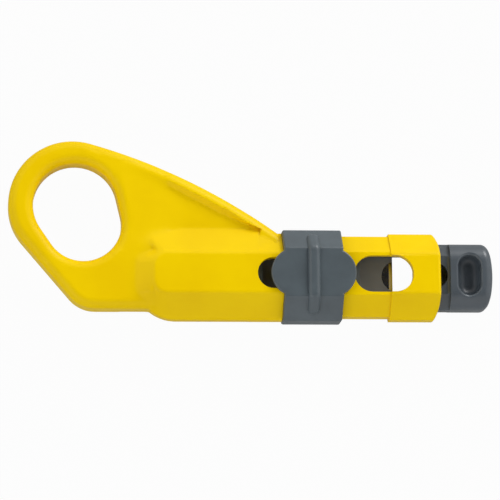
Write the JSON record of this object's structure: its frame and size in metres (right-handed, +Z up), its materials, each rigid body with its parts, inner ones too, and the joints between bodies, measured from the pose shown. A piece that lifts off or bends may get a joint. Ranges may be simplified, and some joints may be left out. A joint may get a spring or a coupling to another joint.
{
  "type": "coaxial cable stripper",
  "caption": "Two-level coaxial cable stripper: finger-ring handle with a bevelled barrel, sprung thumb plunger carrying blades, and a sliding window cover.",
  "frame": {"origin": "on the plane the tool rests on, where the axis of a cable lying in the large window meets it", "axes": "+X along the barrel towards the thumb head, +Y across it towards the top of the finger ring, +Z up, out of the front face and along the cable"},
  "size_m": [0.1447, 0.0543, 0.0214],
  "materials": {
    "handle_plastic": "satin moulded yellow",
    "plunger_plastic": "fine moulded dark grey",
    "cover_plastic": "fine moulded dark grey",
    "holder_plastic": "plain moulded grey",
    "blade_steel": "ground and polished",
    "clamp_steel": "stamped plate",
    "fastener_steel": "plain turned steel",
    "spring_steel": "drawn wire"
  },
  "bodies": {
    "handle": {"handle_body": "handle_plastic", "stop_pin": "fastener_steel", "return_spring": "spring_steel"},
    "plunger": {"plunger": "plunger_plastic", "large_blade_holder": "holder_plastic", "large_core_blade": "blade_steel", "large_blade_spacer": "holder_plastic", "large_jacket_blade": "blade_steel", "large_clamp_plate": "clamp_steel", "large_clamp_screws": "fastener_steel", "small_blade_holder": "holder_plastic", "small_core_blade": "blade_steel", "small_blade_spacer": "holder_plastic", "small_jacket_blade": "blade_steel", "small_clamp_plate": "clamp_steel", "small_clamp_screws": "fastener_steel"},
    "cover": {"cover_front_half": "cover_plastic", "cover_back_half": "cover_plastic"}
  },
  "joints": [
    {"name": "plunger_press", "type": "slide", "parent": "handle", "child": "plunger", "axis": [1, 0, 0], "range_m": [-0.003, 0], "stiffness_N_per_m": 600, "springref_m": 0.008, "deforming": ["return_spring"]},
    {"name": "cover_slide", "type": "slide", "parent": "handle", "child": "cover", "axis": [1, 0, 0], "range_m": [0, 0.01435]}
  ]
}
